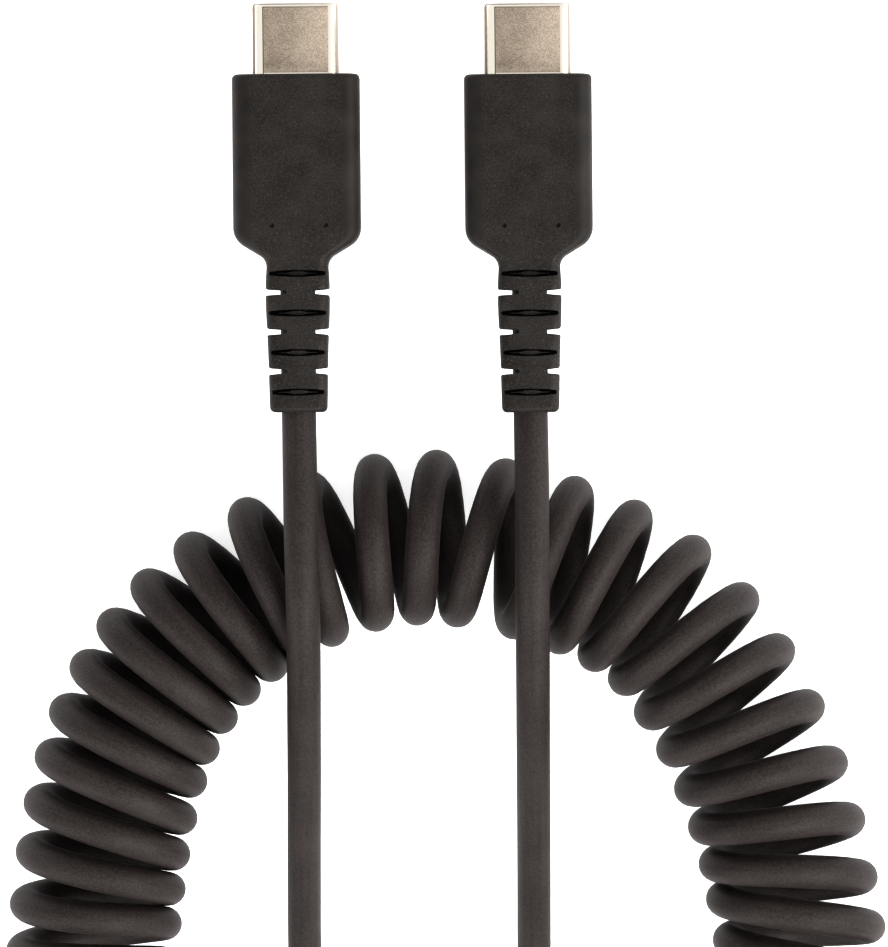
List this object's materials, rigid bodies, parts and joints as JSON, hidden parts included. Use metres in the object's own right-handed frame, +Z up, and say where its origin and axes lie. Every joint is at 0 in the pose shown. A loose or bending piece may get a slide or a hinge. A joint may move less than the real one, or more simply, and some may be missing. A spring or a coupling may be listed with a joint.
{
  "type": "coiled usb-c cable",
  "caption": "Curly black charging cable with a USB-C plug at each end, lying in an arch on the floor with its straight ends over the coil.",
  "frame": {"origin": "on the floor, under the middle of the box round the two plugs", "axes": "+Z up from the floor, +Y from the coil towards the tips of the plugs, +X from plug a to plug b"},
  "size_m": [0.0876, 0.1289, 0.0208],
  "materials": {
    "plug_shell": "satin nickel, grained faces and polished round sides",
    "insulator": "moulded",
    "housing": "fine matt grain",
    "cord_jacket": "smooth matt elastomer"
  },
  "bodies": {
    "root": {"plug_a_shell": "plug_shell", "plug_a_insulator": "insulator", "plug_a_housing": "housing", "plug_b_shell": "plug_shell", "plug_b_insulator": "insulator", "plug_b_housing": "housing", "coil": "cord_jacket", "lead_a": "cord_jacket", "lead_b": "cord_jacket"}
  },
  "joints": []
}
